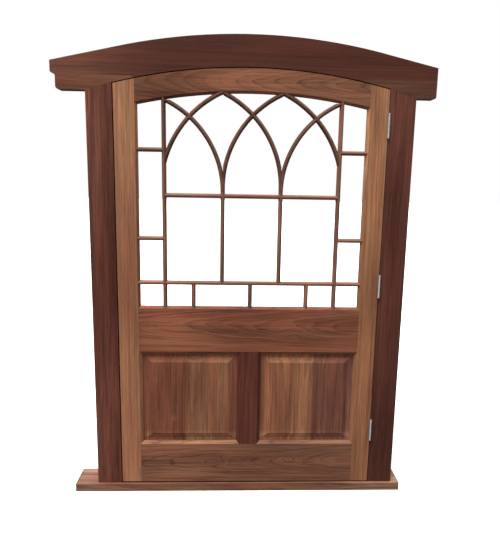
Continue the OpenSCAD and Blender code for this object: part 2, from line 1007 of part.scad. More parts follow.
module middle_arc_right_raw() {
  arc_bar(cx - middle_arc_r_right, middle_arc_z, middle_arc_r_right, bx, cx);
  intersection() {
    upright(cx, side_arc_z, middle_arc_z);
    block(bx, cx, 0, leaf_t, side_arc_z, middle_arc_z);
  }
}

module post_arc_left() {
  color(wood_bar) {
    difference() {
      intersection() {
        post_arc_left_raw();
        glazed_air();
      }
      post_raw(ax);
      intersection() {
        side_arc_left_raw();
        back_half();
      }
    }
    stub(bx - stub_off);
  }
}

module side_arc_left() {
  color(wood_bar)
    difference() {
      intersection() {
        side_arc_left_raw();
        glazed_air();
      }
      post_raw(ax);
      intersection() {
        post_arc_left_raw();
        front_half();
      }
    }
}

module middle_arc_left() {
  color(wood_bar) {
    difference() {
      intersection() {
        middle_arc_left_raw();
        glazed_air();
      }
      intersection() {
        middle_arc_right_raw();
        back_half();
      }
    }
    stub(cx - stub_off);
  }
}

module middle_arc_right() {
  color(wood_bar) {
    difference() {
      intersection() {
        middle_arc_right_raw();
        glazed_air();
      }
      intersection() {
        middle_arc_left_raw();
        front_half();
      }
    }
    stub(bx + stub_off);
  }
}

module side_arc_right() {
  color(wood_bar)
    difference() {
      intersection() {
        side_arc_right_raw();
        glazed_air();
      }
      post_raw(dx);
      intersection() {
        post_arc_right_raw();
        front_half();
      }
    }
}

module post_arc_right() {
  color(wood_bar) {
    difference() {
      intersection() {
        post_arc_right_raw();
        glazed_air();
      }
      post_raw(dx);
      intersection() {
        side_arc_right_raw();
        back_half();
      }
    }
    stub(cx + stub_off);
  }
}

// ---------- frame ----------

// tenons of a right-hand jamb: through the sill, and stopped in the head
module jamb_tenons(top_z) {
  block(tenon_x0, tenon_x1, tenon_y0, tenon_y1, 0, sill_t + sink);
  block(tenon_x0, tenon_x1, tenon_y0, tenon_y1, top_z - tenon_root, top_z + jamb_tenon_h);
}

// everything under a right-hand jamb's top, which leaves the arch at the gap and falls to top_z
module under_jamb_top(top_z, y0, y1) {
  slope = (arc_z(head_r, jx_gap) - top_z) / jamb_face_w;
  prism_y(y0, y1)
    polygon([[0, 0], [jx_out, 0], [jx_out, top_z], [0, top_z + jx_out * slope]]);
}

// a right-hand jamb's body from x0, rebated for the leaf, its top scribed to the head
module jamb_body(top_z, x0) {
  intersection() {
    under_jamb_top(top_z, -over, frame_d + over);
    prism_z(sill_t, leaf_crown_z)
      polygon([
        [x0, 0], [jx_out, 0], [jx_out, frame_d], [jx_stop, frame_d],
        [jx_stop, stop_y], [x0, stop_y]
      ]);
    disc_y(head_r, -over, frame_d + over);
  }
}

module sill() {
  color(wood_sill)
    difference() {
      block(sill_x0, sill_x1, -sill_out, frame_d + sill_back, 0, sill_t);
      both_sides()
        block(tenon_x0, tenon_x1, tenon_y0, tenon_y1, -over, sill_t + over);
    }
}

module left_jamb() {
  color(wood_jamb)
    mirror([1, 0, 0]) {
      jamb_body(left_jamb_z, lx + lock_gap);
      jamb_tenons(left_jamb_z);
    }
}

module right_jamb() {
  color(wood_dark)
    difference() {
      union() {
        jamb_body(right_jamb_z, jx_gap);
        jamb_tenons(right_jamb_z);
      }
      for (z = hinge_zs)
        block(jx_gap - over, jx_gap + plate_t, -over, plate_d, z - hinge_l / 2, z + hinge_l / 2);
      jamb_screw_holes();
    }
}

// a right-hand jamb's share of the air under the head, up to the jamb's top
module jamb_air(top_z) {
  y1 = frame_d + over;
  intersection() {
    disc_y(head_r, -over, y1);
    under_jamb_top(top_z, -over, y1);
    union() {
      block(0, jx_out, -over, stop_y, 0, head_crown_z);
      block(jx_stop, jx_out, -over, y1, 0, head_crown_z);
    }
  }
}

// the opening under the head, stop and jamb tops included
module head_air() {
  disc_y(stop_r, stop_y - sink, frame_d + over);
  jamb_air(right_jamb_z);
  mirror([1, 0, 0])
    jamb_air(left_jamb_z);
}

// the head before the opening is cut from it: an arc that runs out straight to each horn
module head_blank() {
  u0 = -head_tangent_x - head_arch_shift;
  u1 = head_tangent_x - head_arch_shift;
  z0 = head_cz + sqrt(head_arch_r * head_arch_r - u0 * u0);
  z1 = head_cz + sqrt(head_arch_r * head_arch_r - u1 * u1);
  low = left_glue_z - head_lap;
  left_end_z = z0 + u0 / (z0 - head_cz) * (-head_tangent_x - head_left_x);
  right_end_z = z1 - u1 / (z1 - head_cz) * (head_right_x - head_tangent_x);
  intersection() {
    translate([head_arch_shift, 0, head_cz])
      rotate([-90, 0, 0])
        cylinder(h = frame_d, r = head_arch_r, $fn = arc_fn);
    block(-head_tangent_x - head_lap, head_tangent_x + head_lap, 0, frame_d, low, head_crown_z + over);
  }
  prism_y(0, frame_d)
    polygon([
      [head_lap - head_tangent_x, low - over], [head_lap - head_tangent_x, z0 - head_lap],
      [-head_tangent_x, z0 - tangent_sink],
      [head_left_x, left_end_z], [head_left_x, left_glue_z + left_step_up],
      [head_left_x + left_step, left_glue_z], [head_left_x + left_step, low - over]
    ]);
  prism_y(0, frame_d)
    polygon([
      [head_tangent_x - head_lap, low - over], [head_tangent_x - head_lap, z1 - head_lap],
      [head_tangent_x, z1 - tangent_sink],
      [head_right_x, right_end_z], [head_right_x, low - over]
    ]);
}

module arched_head() {
  y1 = frame_d + over;
  color(wood_dark)
    difference() {
      head_blank();
      head_air();
      block(head_left_x - over, left_block_in - jx_out, -over, y1, 0, left_glue_z);
      block(jx_out - right_block_in, head_right_x + over, -over, y1, 0, right_glue_z);
    }
}

// a shoulder block from x0 to its rounded corner at x1, shallower beside the jamb, drawn for the right
module shoulder(x0, x1, z0, z1, r) {
  difference() {
    prism_y(0, frame_d) {
      translate([x0, z0])
        square([x1 - r - x0, z1 - z0]);
      translate([x0, z0 + r])
        square([x1 - x0, z1 - z0 - r]);
      translate([x1 - r, z0 + r])
        circle(r = r, $fn = small_fn);
    }
    block(jx_out, x1 + over, horn_d, frame_d + over, z0 - over, z1 + over);
  }
}

module left_shoulder_block() {
  color(wood_dark)
    difference() {
      mirror([1, 0, 0])
        shoulder(
          jx_out - left_block_in, -head_left_x - left_step,
          left_jamb_z, left_glue_z, left_horn_r
        );
      head_air();
      mirror([1, 0, 0])
        jamb_tenons(left_jamb_z);
    }
}

module right_shoulder_block() {
  color(wood_dark)
    difference() {
      shoulder(jx_out - right_block_in, head_right_x, right_jamb_z, right_glue_z, right_horn_r);
      head_air();
      jamb_tenons(right_jamb_z);
    }
}

// ---------- hinges ----------

// knuckles with numbers in ks, joined by a strip to a plate that starts at x0
module hinge_half(z, x0, ks, s) {
  difference() {
    union() {
      block(x0, x0 + plate_t, 0, plate_d, z - hinge_l / 2, z + hinge_l / 2);
      for (k = ks) {
        b = z - hinge_l / 2 + k * (seg_l + knuckle_gap);
        translate([pin_x, pin_y, b])
          cylinder(h = seg_l, r = knuckle_r, $fn = small_fn);
        block(x0, x0 + plate_t, pin_y, sink, b, b + seg_l);
      }
    }
    translate([pin_x, pin_y, z - hinge_l / 2 - over])
      cylinder(h = hinge_l + 2 * over, r = bore_r, $fn = small_fn);
    for (p = screw_spots)
      countersink(x0 + (s > 0 ? 0 : plate_t), p[0], z + p[1] * hinge_l, s);
  }
}

// a countersunk hole, its mouth at x, going in along s
module countersink(x, y, z, s) {
  translate([x, y, z])
    rotate([0, s * 90, 0]) {
      translate([0, 0, -over])
        cylinder(h = plate_t + 2 * over, r = screw_r + screw_gap, $fn = small_fn);
      cylinder(
        h = screw_cone, r1 = screw_head_r + screw_gap, r2 = screw_r + screw_gap, $fn = small_fn
      );
    }
}

// a slotted screw, its head flush at x, going in along s
module screw(x, y, z, s) {
  translate([x, y, z])
    rotate([0, s * 90, 0])
      difference() {
        union() {
          cylinder(h = screw_cone, r1 = screw_head_r, r2 = screw_r, $fn = small_fn);
          translate([0, 0, screw_cone / 2])
            cylinder(h = screw_l - screw_cone / 2, r = screw_r, $fn = small_fn);
        }
        translate([-screw_slot_w / 2, -screw_head_r - over, -over])
          cube([screw_slot_w, 2 * (screw_head_r + over), screw_slot_d + over]);
      }
}

module jamb_leaf(z) {
  color(steel)
    hinge_half(z, jx_gap, [0, 2, 4], 1);
}

module door_leaf(z) {
  color(steel)
    hinge_half(z, lx - plate_t, [1, 3], -1);
}

module pin(z) {
  color(steel)
    translate([pin_x, pin_y, z - hinge_l / 2]) {
      cylinder(h = hinge_l, r = pin_r, $fn = small_fn);
      translate([0, 0, -pin_head_h])
        cylinder(h = pin_head_h, r = pin_head_r, $fn = small_fn);
      translate([0, 0, hinge_l])
        cylinder(h = pin_head_h, r = pin_head_r, $fn = small_fn);
    }
}

module jamb_screws() {
  color(steel)
    for (z = hinge_zs)
      for (p = screw_spots)
        screw(jx_gap, p[0], z + p[1] * hinge_l, 1);
}

module door_screws() {
  color(steel)
    for (z = hinge_zs)
      for (p = screw_spots)
        screw(lx, p[0], z + p[1] * hinge_l, -1);
}

sill();
left_jamb();
right_jamb();
arched_head();
left_shoulder_block();
right_shoulder_block();
lock_stile();
hinge_stile();
top_rail();
lock_rail();
bottom_rail();
muntin();
left_panel_outer();
left_panel_inner();
right_panel_inner();
right_panel_outer();
lock_side_wedges();
hinge_side_wedges();
left_post();
right_post();
transom();
lower_bar();
left_mullion();
right_mullion();
upper_left_side_bar();
upper_right_side_bar();
lower_left_side_bar();
lower_right_side_bar();
left_short_bar();
middle_short_bar();
right_short_bar();
post_arc_left();
side_arc_left();
middle_arc_left();
middle_arc_right();
side_arc_right();
post_arc_right();
jamb_leaf(top_hinge_z);  // top_hinge_jamb_leaf
door_leaf(top_hinge_z);  // top_hinge_door_leaf
pin(top_hinge_z);  // top_hinge_pin
jamb_leaf(middle_hinge_z);  // middle_hinge_jamb_leaf
door_leaf(middle_hinge_z);  // middle_hinge_door_leaf
pin(middle_hinge_z);  // middle_hinge_pin
jamb_leaf(bottom_hinge_z);  // bottom_hinge_jamb_leaf
door_leaf(bottom_hinge_z);  // bottom_hinge_door_leaf
pin(bottom_hinge_z);  // bottom_hinge_pin
jamb_screws();
door_screws();
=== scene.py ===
"""Looks of the arched door: timber for each piece, steel hinges, studio light and the camera."""

import math

import bpy
from mathutils import Matrix, Vector


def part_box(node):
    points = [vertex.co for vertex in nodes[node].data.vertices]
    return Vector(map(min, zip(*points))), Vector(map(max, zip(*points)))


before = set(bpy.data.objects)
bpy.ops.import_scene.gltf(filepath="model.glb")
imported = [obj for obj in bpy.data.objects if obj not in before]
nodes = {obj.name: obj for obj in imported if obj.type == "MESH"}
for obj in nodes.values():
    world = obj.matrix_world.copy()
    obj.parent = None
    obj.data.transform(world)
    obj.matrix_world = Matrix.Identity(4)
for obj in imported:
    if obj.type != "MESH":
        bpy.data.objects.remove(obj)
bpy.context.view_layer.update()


def is_metal(name):
    """Hinge parts and screws are steel, and every other piece is timber."""
    return "_hinge_" in name or name.endswith("screws")


# ---------- camera ----------

CAMERA_PLACE = (-0.100, -2.598, 1.632)
CAMERA_PITCH = math.radians(10.06)
CAMERA_YAW = math.radians(2.26)
CAMERA_ROLL = math.radians(1.02)
# the lens and the film's width in millimetres
CAMERA_LENS = 34.94
CAMERA_FILM = 36.0
# nearest and farthest things seen, in metres
CAMERA_NEAR = 0.05
CAMERA_FAR = 200.0


def make_camera():
    data = bpy.data.cameras.new("camera")
    data.lens = CAMERA_LENS
    data.sensor_width = CAMERA_FILM
    data.clip_start = CAMERA_NEAR
    data.clip_end = CAMERA_FAR
    camera = bpy.data.objects.new("camera", data)
    bpy.context.scene.collection.objects.link(camera)
    turn = Matrix.Rotation(-CAMERA_YAW, 4, "Z")
    tilt = Matrix.Rotation(math.pi / 2 - CAMERA_PITCH, 4, "X")
    roll = Matrix.Rotation(CAMERA_ROLL, 4, "Z")
    camera.matrix_world = Matrix.Translation(CAMERA_PLACE) @ turn @ tilt @ roll
    bpy.context.scene.camera = camera


# ---------- node graphs ----------


def linear(colour):
    """An sRGB colour given in 0 to 255, as linear RGB."""
    channels = []
    for c in colour:
        c = c / 255
        channels.append(c / 12.92 if c <= 0.04045 else ((c + 0.055) / 1.055) ** 2.4)
    return channels


def tint(colour, factors):
    """A linear RGB colour times a factor for each channel, as RGBA."""
    return (*(min(1.0, c * f) for c, f in zip(colour, factors)), 1.0)


class Graph:
    """The node tree of a material or a world. Its calls add nodes and return their outputs."""

    def __init__(self, owner):
        owner.use_nodes = True
        self.owner = owner
        self.tree = owner.node_tree
        self.tree.nodes.clear()

    def add(self, kind, inputs, **settings):
        node = self.tree.nodes.new(kind)
        for key, value in settings.items():
            setattr(node, key, value)
        for key, value in inputs.items():
            if isinstance(value, bpy.types.NodeSocket):
                self.tree.links.new(value, node.inputs[key])
            else:
                node.inputs[key].default_value = value
        return node

    def math(self, operation, *values):
        inputs = dict(enumerate(values))
        return self.add("ShaderNodeMath", inputs, operation=operation).outputs[0]

    def vector(self, operation, *values, output=0):
        inputs = dict(enumerate(values))
        return self.add("ShaderNodeVectorMath", inputs, operation=operation).outputs[output]

    def stretched(self, vector, scale):
        return self.vector("MULTIPLY", vector, scale)

    def noise(self, vector, detail=2.0, roughness=0.5, output="Fac"):
        inputs = {"Vector": vector, "Scale": 1.0, "Detail": detail, "Roughness": roughness}
        return self.add("ShaderNodeTexNoise", inputs).outputs[output]

    def marks(self, vector, kind, output="Fac"):
        """Noise of one kind: its marks to the metre along and across, its detail and roughness."""
        along, across, detail, roughness = kind
        return self.noise(self.stretched(vector, (along, across, across)), detail, roughness, output)

    def shifts(self, vector, kind, reach):
        """Noise as a vector that shifts a place through the board's thickness and across it."""
        shift = self.vector("SUBTRACT", self.marks(vector, kind, "Color"), (0.5, 0.5, 0.5))
        return self.stretched(shift, (0.0, *reach))

    def weighted(self, terms, base=0.5):
        """base plus each term's weight times its distance from a half."""
        total = base
        for value, weight in terms:
            total = self.math("MULTIPLY_ADD", self.math("SUBTRACT", value, 0.5), weight, total)
        return total

    def ramp(self, factor, stops):
        node = self.add("ShaderNodeValToRGB", {"Fac": factor})
        elements = node.color_ramp.elements
        while len(elements) < len(stops):
            elements.new(0.5)
        for element, (place, colour) in zip(elements, stops):
            element.position = place
            element.color = colour
        return node.outputs["Color"]

    def multiplied(self, colour, other, share=1.0):
        inputs = {0: share, 6: colour, 7: other}
        node = self.add("ShaderNodeMix", inputs, data_type="RGBA", blend_type="MULTIPLY")
        return node.outputs[2]

    def finish(self, shader):
        self.add("ShaderNodeOutputMaterial", {"Surface": shader.outputs[0]})
        return self.owner


# ---------- timber ----------

# how far the light and the dark wood of a board stand from its own colour, in red, green and blue
PALE = (1.70, 1.70, 1.58)
DEEP = (0.48, 0.43, 0.44)
# the tones where a board is all dark, its own colour and all light
TONES = (0.05, 0.5, 0.95)

# the growth lines of a board: their spacing in metres and how dark they are
QUARTERED = (0.0042, 0.16)
CATHEDRAL = (0.0065, 0.36)
# how late in a ring its dark wood sets in
LATE_WOOD_POWER = 5.0

# marks to the metre along the grain and across it, then the noise's detail and roughness
SWAY = (1.6, 6.0, 2.0, 0.5)
RIPPLE = (7.0, 30.0, 3.0, 0.6)
REDNESS = (1.4, 26.0, 1.0, 0.5)
CLOUD = (2.0, 14.0, 2.0, 0.5)
STREAK = (3.0, 160.0, 4.0, 0.7)
FIBRE = (14.0, 700.0, 2.0, 0.6)
PORES = (60.0, 2600.0, 1.0, 0.5)
# a band's marks to the metre along the grain and from ring to ring
BAND_ALONG = 0.7
BAND_ACROSS = 110.0

# how far sway and ripple shift the grain, through the board and across it, for a wander of one
SWAY_REACH = (2.0, 4.0)
RIPPLE_REACH = (0.8, 0.8)

# how much each kind of mark tells in the tone, the roughness and the bump
TONE_OF_BAND = 1.2
TONE_OF_STREAK = 1.5
TONE_OF_CLOUD = 1.2
TONE_OF_FIBRE = 0.8
ROUGHNESS = 0.6
ROUGHNESS_OF_FIBRE = 0.22
ROUGHNESS_OF_CLOUD = 0.16
ROUGHNESS_OF_LATE_WOOD = -0.08
HEIGHT_OF_FIBRE = 0.9
HEIGHT_OF_PORES = 0.5
HEIGHT_OF_LATE_WOOD = 0.4
BUMP_STRENGTH = 0.3
BUMP_DEPTH = 0.0003
OILED_SHEEN = 0.10

# the cooler and the redder wood, and where redness turns from one to the other
COOLER = (0.35, (0.95, 1.02, 1.0, 1))
REDDER = (0.65, (1.06, 0.97, 0.96, 1))

# how ragged the streaks and bands make a patch's edge
RAG_SLOPE = 1.1
RAG_BASE = -0.1

# painted shade in the gap round the leaf, standing in for the shade that falls there: its colour, how far
# it reaches to either side of the centre line, how squarely a face has to point, and how much deeper it
# fades out
PAINTED_GAP_SHADE = (0.10, 0.06, 0.05, 1)
PAINTED_GAP_SHADE_REACH = 0.66
PAINTED_GAP_SHADE_FACING = 0.9
PAINTED_GAP_SHADE_FADE = 1.4

# how far apart two boards lie in the noise
SEED_STEP = (3.7, 1.3, 2.1)


class Timber:
    """How one board is cut and coloured. Places are (x, z) from the board's centre, in metres.

    turn is the angle that lays the grain along x, in degrees.
    pith is where the tree's centre lies, across the board and through it, and tilt is its slope.
    wander is how far the grain strays, in metres, and figure is how strong the marks are.
    rings is the growth lines' spacing and darkness.
    A knot is (x, z, length, height, rise), where rise is how far it shifts the rings.
    A patch is (x, z, length, height, colour factors).
    The painted shade in the gap round the leaf is given by the direction of the faces next to the leaf
    that it darkens, and how deep it goes.
    """

    def __init__(self, colour, turn, seed, pith=(0.10, 0.09), tilt=0.02, wander=0.010,
                 figure=1.0, rings=QUARTERED, knots=(), patches=(), painted_gap_shade=None):
        self.colour = linear(colour)
        self.turn = turn
        self.seed = seed
        self.pith = pith
        self.tilt = tilt
        self.wander = wander
        self.figure = figure
        self.rings = rings
        self.knots = knots
        self.patches = patches
        self.painted_gap_shade = painted_gap_shade


def hill(g, local, x, z, length, height):
    """One at (x, z), falling off to nothing past length and height."""
    away = g.vector("SUBTRACT", local, (x, 0.0, z))
    share = g.stretched(away, (1 / length, 0.0, 1 / height))
    square = g.vector("DOT_PRODUCT", share, share, output=1)
    return g.math("EXPONENT", g.math("MULTIPLY", square, -1.0))


def painted_shade_mask(g, place, direction, reach):
    """Painted shade in the gap round the leaf: one on the faces that point in a direction, from the
    leaf's front face to a depth.
    """
    facing = g.add("ShaderNodeNewGeometry", {}).outputs["Normal"]
    squareness = g.vector("DOT_PRODUCT", facing, direction, output=1)
    facing = g.math("GREATER_THAN", squareness, PAINTED_GAP_SHADE_FACING)
    side, depth, _ = g.add("ShaderNodeSeparateXYZ", {"Vector": place}).outputs
    within = g.math("LESS_THAN", g.math("ABSOLUTE", side), PAINTED_GAP_SHADE_REACH)
    behind = g.math("GREATER_THAN", depth, 0.0)
    fade = g.add("ShaderNodeMapRange", {
        "Value": depth, "From Min": reach, "From Max": PAINTED_GAP_SHADE_FADE * reach, "To Min": 1.0, "To Max": 0.0,
    }).outputs[0]
    return g.math("MULTIPLY", g.math("MULTIPLY", facing, within), g.math("MULTIPLY", behind, fade))


class Marks:
    """The marks on one board, each a node's output: bands, streaks, clouds, fibres, pores, late wood.

    The board's own axes are x along the grain, y through its thickness and z across it.
    """

    def __init__(self, g, local, board):
        turned = g.add(
            "ShaderNodeVectorRotate",
            {"Vector": local, "Angle": math.radians(board.turn)},
            rotation_type="Y_AXIS",
        ).outputs[0]
        seeded = g.vector("ADD", turned, tuple(step * board.seed for step in SEED_STEP))
        along, radius = self.along_and_radius(g, local, turned, seeded, board)

        rings = g.math("FRACT", g.math("DIVIDE", radius, board.rings[0]))
        self.late = g.math("POWER", rings, LATE_WOOD_POWER)
        band_place = g.add("ShaderNodeCombineXYZ", {
            "X": g.math("MULTIPLY", along, BAND_ALONG),
            "Y": g.math("MULTIPLY", radius, BAND_ACROSS),
            "Z": float(board.seed),
        }).outputs[0]
        self.band = g.noise(band_place, detail=4.0, roughness=0.65)
        self.fibre = g.marks(seeded, FIBRE)
        self.streak = g.marks(seeded, STREAK)
        self.cloud = g.marks(seeded, CLOUD)
        self.pores = g.marks(seeded, PORES)
        self.red = g.marks(seeded, REDNESS)

    def along_and_radius(self, g, local, turned, seeded, board):
        """The place along the grain and the distance from the pith, about which the rings are round."""
        sway = g.shifts(seeded, SWAY, [reach * board.wander for reach in SWAY_REACH])
        ripple = g.shifts(seeded, RIPPLE, [reach * board.wander for reach in RIPPLE_REACH])
        grain = g.vector("ADD", g.vector("ADD", turned, sway), ripple)
        along, depth, across = g.add("ShaderNodeSeparateXYZ", {"Vector": grain}).outputs
        across = g.math("SUBTRACT", across, board.pith[0])
        depth = g.math("SUBTRACT", depth, board.pith[1])
        depth = g.math("MULTIPLY_ADD", along, board.tilt, depth)
        across2 = g.math("MULTIPLY", across, across)
        radius = g.math("SQRT", g.math("MULTIPLY_ADD", depth, depth, across2))
        for x, z, length, height, rise in board.knots:
            radius = g.math("MULTIPLY_ADD", hill(g, local, x, z, length, height), rise, radius)
        return along, radius


def wood_colour(g, place, local, board, marks):
    """A board's colour, with its marks, its patches and the painted shade in the gap beside the leaf."""
    tone = g.weighted([
        (marks.band, TONE_OF_BAND * board.figure),
        (marks.streak, TONE_OF_STREAK * board.figure),
        (marks.cloud, TONE_OF_CLOUD * board.figure),
        (marks.fibre, TONE_OF_FIBRE),
        (marks.late, -board.rings[1]),
    ])
    shades = [tint(board.colour, factors) for factors in (DEEP, (1, 1, 1), PALE)]
    wood = g.ramp(tone, list(zip(TONES, shades)))
    wood = g.multiplied(wood, g.ramp(marks.red, [COOLER, REDDER]))
    rag = g.math("MULTIPLY_ADD", g.math("ADD", marks.streak, marks.band), RAG_SLOPE, RAG_BASE)
    for x, z, length, height, colour in board.patches:
        share = g.math("MULTIPLY", hill(g, local, x, z, length, height), rag)
        wood = g.multiplied(wood, (*colour, 1.0), g.math("MINIMUM", share, 1.0))
    # painted shade in the gap round the leaf, darkening the faces that point into it
    if board.painted_gap_shade:
        wood = g.multiplied(wood, PAINTED_GAP_SHADE, painted_shade_mask(g, place, *board.painted_gap_shade))
    return wood


def timber_material(name, board):
    """Wood whose rings are cylinders about a pith line that runs along the grain."""
    g = Graph(bpy.data.materials.new(name))
    low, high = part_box(name)
    centre = (low + high) / 2
    place = g.add("ShaderNodeTexCoord", {}).outputs["Object"]
    local = g.vector("SUBTRACT", place, tuple(centre))
    marks = Marks(g, local, board)
    roughness = g.weighted([
        (marks.fibre, ROUGHNESS_OF_FIBRE),
        (marks.cloud, ROUGHNESS_OF_CLOUD),
        (marks.late, ROUGHNESS_OF_LATE_WOOD),
    ], ROUGHNESS)
    height = g.weighted([
        (marks.fibre, HEIGHT_OF_FIBRE),
        (marks.pores, HEIGHT_OF_PORES),
        (marks.late, HEIGHT_OF_LATE_WOOD),
    ])
    bump = g.add("ShaderNodeBump", {
        "Height": height, "Strength": BUMP_STRENGTH, "Distance": BUMP_DEPTH,
    })
    shader = g.add("ShaderNodeBsdfPrincipled", {
        "Base Color": wood_colour(g, place, local, board, marks),
        "Roughness": roughness,
        "Normal": bump.outputs[0],
        "Specular IOR Level": OILED_SHEEN,
    })
    return g.finish(shader)


LEVEL = 0.0
UPRIGHT = 90.0
BAR_COLOUR = (114, 80, 65)
ARC_COLOUR = (92, 63, 52)
WEDGE_COLOUR = (120, 80, 58)
BAR_PITH = (0.08, 0.08)
FIRST_BAR_SEED = 20
ARCS_THAT_LEAN_RIGHT = ("post_arc_left", "middle_arc_left", "side_arc_right")


def bar_board(name, seed):
    """A glazing bar's board, with the grain along the bar."""
    low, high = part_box(name)
    size = high - low
    if "_arc_" not in name:
        return Timber(BAR_COLOUR, UPRIGHT if size.z > size.x else LEVEL, seed, BAR_PITH)
    rise = math.degrees(math.atan2(size.z, size.x))
    return Timber(ARC_COLOUR, rise if name in ARCS_THAT_LEAN_RIGHT else -rise, seed, BAR_PITH)


def timber_pieces():
    """Each wooden piece's board, as its colour, cut and figure."""
    # painted light: the slope below a panel's raised field is painted lighter
    painted_slope_light = (0.0, -0.208, 0.40, 0.018, (1.55, 1.68, 1.72))
    boards = {
        # the sill, the jambs and the head are painted with shade in the gap round the leaf, on the faces
        # that point into it
        "sill": Timber((98, 66, 51), LEVEL, 1, (0.03, 0.07), patches=(
            (-0.58, 0.0, 0.32, 0.20, (1.42, 1.34, 1.30)),
            (0.70, 0.0, 0.30, 0.20, (1.62, 1.78, 1.84)),
            (-0.82, 0.0, 0.10, 0.20, (1.32, 1.52, 1.78)),
        ), painted_gap_shade=((0, 0, 1), 0.010)),
        "left_jamb": Timber((92, 53, 42), UPRIGHT, 2, (0.10, 0.12), patches=(
            (0.0, 0.10, 0.30, 0.35, (0.76, 0.70, 0.70)),
            (-0.03, 0.85, 0.10, 0.35, (1.26, 1.32, 1.28)),
            (0.06, 0.0, 0.03, 2.00, (0.86, 0.78, 0.80)),
        ), painted_gap_shade=((1, 0, 0), 0.024)),
        "right_jamb": Timber((75, 42, 34), UPRIGHT, 3, (0.16, 0.12), figure=0.8, patches=(
            (0.0, -0.70, 0.30, 0.40, (0.82, 0.78, 0.80)),
            (0.0, 0.85, 0.30, 0.30, (1.30, 1.36, 1.32)),
        ), painted_gap_shade=((-1, 0, 0), 0.010)),
        "arched_head": Timber((74, 40, 31), LEVEL, 4, (0.20, 0.10), tilt=0.01, figure=0.42, patches=(
            (-0.86, -0.08, 0.28, 0.30, (1.92, 2.35, 2.35)),
            (0.85, -0.10, 0.16, 0.20, (1.16, 1.16, 1.16)),
        ), painted_gap_shade=((0, 0, -1), 0.024)),
        "left_shoulder_block": Timber((103, 66, 50), LEVEL, 5, (0.10, 0.10), figure=0.7),
        "right_shoulder_block": Timber((84, 54, 42), LEVEL, 6, (0.10, 0.10), figure=0.7),
        "lock_stile": Timber((139, 94, 69), UPRIGHT, 7, (0.16, 0.09), tilt=0.01, figure=0.68, patches=(
            (0.0, 0.0, 0.30, 0.35, (0.83, 0.79, 0.79)),
            (0.0, 0.80, 0.30, 0.36, (1.20, 1.30, 1.28)),
            (-0.04, 0.10, 0.018, 0.90, (0.92, 0.97, 1.02)),
        )),
        "hinge_stile": Timber((132, 88, 63), UPRIGHT, 8, (-0.15, 0.10), tilt=0.01, figure=0.68, patches=(
            (0.0, -0.85, 0.30, 0.40, (0.90, 0.92, 0.92)),
            (0.0, -0.05, 0.30, 0.30, (0.85, 0.79, 0.79)),
            (0.0, 0.78, 0.30, 0.42, (1.36, 1.50, 1.48)),
        )),
        "top_rail": Timber((108, 70, 52), LEVEL, 9, (0.02, 0.07), tilt=0.07, rings=CATHEDRAL, patches=(
            (-0.42, 0.00, 0.18, 0.20, (0.70, 0.64, 0.64)),
            (0.0, 0.0, 0.18, 0.20, (1.14, 1.14, 1.14)),
        )),
        "lock_rail": Timber((104, 63, 47), LEVEL, 10, (0.03, 0.07), tilt=0.05, rings=CATHEDRAL, patches=(
            (-0.38, 0.0, 0.20, 0.20, (1.24, 1.22, 1.18)),
            (0.02, 0.0, 0.18, 0.20, (0.86, 0.84, 0.84)),
        ), knots=((0.24, -0.01, 0.05, 0.03, 0.012),)),
        "bottom_rail": Timber((97, 64, 49), LEVEL, 11, (0.00, 0.07), tilt=0.05, rings=CATHEDRAL, patches=(
            (-0.40, 0.0, 0.22, 0.20, (1.18, 1.14, 1.12)),
            (0.40, 0.0, 0.25, 0.20, (0.88, 0.90, 0.92)),
            # a painted highlight along the rail's top sticking, which faces up into the light
            (0.0, 0.110, 2.0, 0.009, (1.32, 1.36, 1.34)),
        ), knots=((-0.17, 0.0, 0.06, 0.02, 0.014), (0.22, 0.02, 0.03, 0.02, -0.012))),
        "muntin": Timber((78, 41, 33), UPRIGHT, 12, (0.12, 0.1), figure=0.8),
        "left_panel_outer": Timber((105, 62, 46), UPRIGHT, 13, (0.05, 0.09), figure=0.85, patches=(
            (0.06, -0.11, 0.012, 0.016, (1.6, 1.6, 1.5)), painted_slope_light,
        )),
        "left_panel_inner": Timber((112, 74, 54), UPRIGHT, 14, (0.10, 0.08), figure=0.85, patches=(
            (0.113, 0.0, 0.020, 0.40, (0.80, 0.64, 0.79)), painted_slope_light,
        )),
        "right_panel_inner": Timber((120, 79, 57), UPRIGHT, 15, (-0.10, 0.08), figure=0.85, patches=(
            (0.11, 0.0, 0.03, 0.40, (1.16, 1.18, 1.16)),
            (-0.120, 0.0, 0.020, 0.40, (0.59, 0.55, 0.64)), painted_slope_light,
        )),
        "right_panel_outer": Timber((97, 60, 48), UPRIGHT, 16, (0.12, 0.08), figure=0.85, patches=(
            (0.085, 0.0, 0.020, 0.40, (1.35, 1.47, 1.75)), painted_slope_light,
        )),
        "lock_side_wedges": Timber(WEDGE_COLOUR, LEVEL, 17),
        "hinge_side_wedges": Timber(WEDGE_COLOUR, LEVEL, 18),
    }
    bars = [name for name in nodes if name not in boards and not is_metal(name)]
    for number, name in enumerate(sorted(bars)):
        boards[name] = bar_board(name, FIRST_BAR_SEED + number)
    return boards


# ---------- steel ----------

# marks to the metre in x, y and z
BRUSHED = (900.0, 900.0, 40.0)
DULLED = (60.0, 60.0, 60.0)
# the tones where the steel is all dull and all bright, with their colours
DULL_STEEL = (0.2, (0.36, 0.35, 0.33, 1))
BRIGHT_STEEL = (0.75, (0.66, 0.66, 0.65, 1))
STEEL_TONE_OF_BRUSHING = 0.5
STEEL_TONE_OF_PATCHES = 0.6
STEEL_METALLIC = 0.9
STEEL_ROUGHNESS = 0.42
STEEL_ROUGHNESS_OF_BRUSHING = 0.2
STEEL_ROUGHNESS_OF_PATCHES = 0.35
STEEL_BUMP_STRENGTH = 0.2
STEEL_BUMP_DEPTH = 0.0001


